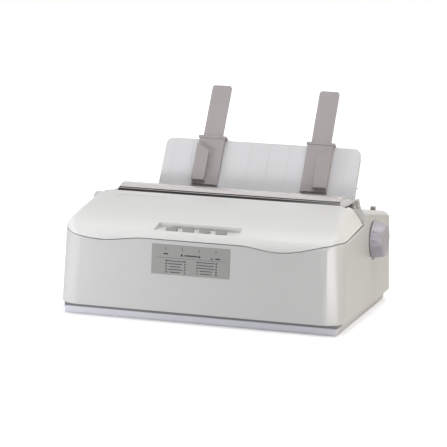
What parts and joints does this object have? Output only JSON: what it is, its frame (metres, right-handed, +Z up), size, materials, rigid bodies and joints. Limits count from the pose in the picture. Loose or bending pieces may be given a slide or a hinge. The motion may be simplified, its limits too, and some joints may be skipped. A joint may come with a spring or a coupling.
{
  "type": "dot matrix printer",
  "caption": "Desk-top impact printer with a lift-up front cover, smoked paper cover, leaning sheet support with sliding edge guides, platen knob and an inner print carriage.",
  "frame": {"origin": "bottom centre of the whole machine's box, on the desk", "axes": "+X to the right seen from the front, +Y to the rear, +Z up"},
  "size_m": [0.3842, 0.2756, 0.2745],
  "materials": {
    "case_white": "fine satin",
    "cover_white": "fine satin",
    "tray_grey": "satin",
    "smoke_plastic": "clear smoked gloss",
    "frost_plastic": "frosted clear",
    "guide_grey": "smoky satin",
    "label_grey": "satin film",
    "button_grey": "satin",
    "knob_grey": "satin",
    "platen_rubber": "ground matt",
    "foot_rubber": "matt",
    "bright_steel": "ground",
    "zinc_steel": "zinc plated",
    "motor_steel": "satin black",
    "gear_nylon": "natural nylon",
    "brass_gear": "machined",
    "bronze_bush": "sintered",
    "dark_plastic": "fine grain",
    "ribbon_cloth": "woven, inked",
    "belt_rubber": "moulded",
    "head_alloy": "finned, black",
    "board_green": "solder mask",
    "supply_steel": "folded sheet",
    "blue_plastic": "satin"
  },
  "bodies": {
    "case": {"base_tray": "tray_grey", "rubber_feet": "foot_rubber", "case_screws": "zinc_steel", "upper_case": "case_white", "front_label": "label_grey", "platen_bushes": "bronze_bush", "feed_motor": "motor_steel", "paper_chute": "dark_plastic", "left_side_frame": "zinc_steel", "right_side_frame": "zinc_steel", "chassis_plate": "zinc_steel", "carriage_rod": "bright_steel", "carriage_motor": "motor_steel", "idler_post": "zinc_steel", "drive_belt": "belt_rubber", "ribbon_cartridge": "dark_plastic", "ink_ribbon": "ribbon_cloth", "control_board": "board_green", "interface_port": "supply_steel", "power_supply": "supply_steel", "power_inlet": "dark_plastic", "power_switch_body": "dark_plastic", "lever_stud": "bright_steel"},
    "access_cover": {"access_cover": "cover_white", "switch_board": "board_green"},
    "button_1": {"button_1": "button_grey"},
    "button_2": {"button_2": "button_grey"},
    "button_3": {"button_3": "button_grey"},
    "button_4": {"button_4": "button_grey"},
    "smoked_cover": {"smoked_cover": "smoke_plastic"},
    "sheet_support": {"sheet_support": "frost_plastic"},
    "left_guide": {"left_guide": "guide_grey"},
    "right_guide": {"right_guide": "guide_grey"},
    "left_arm": {"left_arm": "guide_grey"},
    "right_arm": {"right_arm": "guide_grey"},
    "platen": {"platen_roller": "platen_rubber", "platen_shaft": "bright_steel", "platen_knob": "knob_grey", "platen_gear": "gear_nylon"},
    "feed_idler_gear": {"feed_idler_gear": "gear_nylon"},
    "feed_pinion": {"feed_pinion": "brass_gear"},
    "pinch_rollers": {"pinch_rollers": "foot_rubber"},
    "carriage": {"carriage": "dark_plastic", "print_head": "head_alloy"},
    "motor_pulley": {"motor_pulley": "brass_gear"},
    "idler_pulley": {"idler_pulley": "gear_nylon"},
    "ribbon_knob": {"ribbon_knob": "blue_plastic"},
    "release_lever": {"release_lever": "guide_grey"},
    "power_rocker": {"power_rocker": "dark_plastic"}
  },
  "joints": [
    {"name": "cover_lift", "type": "hinge", "parent": "case", "child": "access_cover", "pos_m": [-0.00725, -0.027, 0.139], "axis": [-1, 0, 0], "range_deg": [0, 45]},
    {"name": "button_1_press", "type": "slide", "parent": "access_cover", "child": "button_1", "axis": [0, 0, 1], "range_m": [-0.0012, 0], "stiffness_N_per_m": 300, "springref_m": 0.0006},
    {"name": "button_2_press", "type": "slide", "parent": "access_cover", "child": "button_2", "axis": [0, 0, 1], "range_m": [-0.0012, 0], "stiffness_N_per_m": 300, "springref_m": 0.0006},
    {"name": "button_3_press", "type": "slide", "parent": "access_cover", "child": "button_3", "axis": [0, 0, 1], "range_m": [-0.0012, 0], "stiffness_N_per_m": 300, "springref_m": 0.0006},
    {"name": "button_4_press", "type": "slide", "parent": "access_cover", "child": "button_4", "axis": [0, 0, 1], "range_m": [-0.0012, 0], "stiffness_N_per_m": 300, "springref_m": 0.0006},
    {"name": "smoked_cover_lift", "type": "hinge", "parent": "case", "child": "smoked_cover", "pos_m": [-0.00725, 0.034, 0.139], "axis": [-1, 0, 0], "range_deg": [0, 60]},
    {"name": "sheet_support_tilt", "type": "hinge", "parent": "case", "child": "sheet_support", "pos_m": [0.00975, 0.05194, 0.14098], "axis": [-1, 0, 0], "range_deg": [0, 58]},
    {"name": "left_guide_slide", "type": "slide", "parent": "sheet_support", "child": "left_guide", "axis": [1, 0, 0], "range_m": [-0.04, 0.045]},
    {"name": "right_guide_slide", "type": "slide", "parent": "sheet_support", "child": "right_guide", "axis": [1, 0, 0], "range_m": [-0.06, 0.03]},
    {"name": "left_arm_slide", "type": "slide", "parent": "left_guide", "child": "left_arm", "axis": [0, 0.5, 0.866], "range_m": [-0.045, 0]},
    {"name": "right_arm_slide", "type": "slide", "parent": "right_guide", "child": "right_arm", "axis": [0, 0.5, 0.866], "range_m": [-0.045, 0]},
    {"name": "platen_spin", "type": "hinge", "parent": "case", "child": "platen", "pos_m": [-0.00725, 0.031, 0.097], "axis": [1, 0, 0], "continuous": true},
    {"name": "feed_idler_spin", "type": "hinge", "parent": "case", "child": "feed_idler_gear", "pos_m": [-0.16225, 0.05607, 0.06712], "axis": [1, 0, 0], "continuous": true},
    {"name": "feed_pinion_spin", "type": "hinge", "parent": "case", "child": "feed_pinion", "pos_m": [-0.16225, 0.06807, 0.04634], "axis": [1, 0, 0], "continuous": true},
    {"name": "pinch_roller_spin", "type": "hinge", "parent": "case", "child": "pinch_rollers", "pos_m": [-0.00725, 0.04065, 0.08029], "axis": [1, 0, 0], "continuous": true},
    {"name": "carriage_travel", "type": "slide", "parent": "case", "child": "carriage", "axis": [1, 0, 0], "range_m": [0, 0.2]},
    {"name": "motor_pulley_spin", "type": "hinge", "parent": "case", "child": "motor_pulley", "pos_m": [0.10875, -0.036, 0.049], "axis": [0, 0, 1], "range_deg": [-10, 1440]},
    {"name": "idler_pulley_spin", "type": "hinge", "parent": "case", "child": "idler_pulley", "pos_m": [-0.12325, -0.036, 0.049], "axis": [0, 0, 1], "range_deg": [-10, 1440]},
    {"name": "ribbon_knob_spin", "type": "hinge", "parent": "case", "child": "ribbon_knob", "pos_m": [-0.10325, -0.075, 0.11], "axis": [0, 0, 1], "continuous": true},
    {"name": "release_lever_tilt", "type": "hinge", "parent": "case", "child": "release_lever", "pos_m": [0.15975, 0.09, 0.062], "axis": [1, 0, 0], "range_deg": [0, 12]},
    {"name": "power_rocker_tilt", "type": "hinge", "parent": "case", "child": "power_rocker", "pos_m": [0.08475, 0.133, 0.038], "axis": [0, 0, 1], "range_deg": [-16, 0]}
  ],
  "couplings": [
    {"joint": "feed_idler_spin", "follows": "platen_spin", "ratio": -1.1667},
    {"joint": "feed_pinion_spin", "follows": "platen_spin", "ratio": 3.5},
    {"joint": "pinch_roller_spin", "follows": "platen_spin", "ratio": -2.8},
    {"joint": "motor_pulley_spin", "follows": "carriage_travel", "rad_per_m": 125},
    {"joint": "idler_pulley_spin", "follows": "carriage_travel", "rad_per_m": 125}
  ]
}
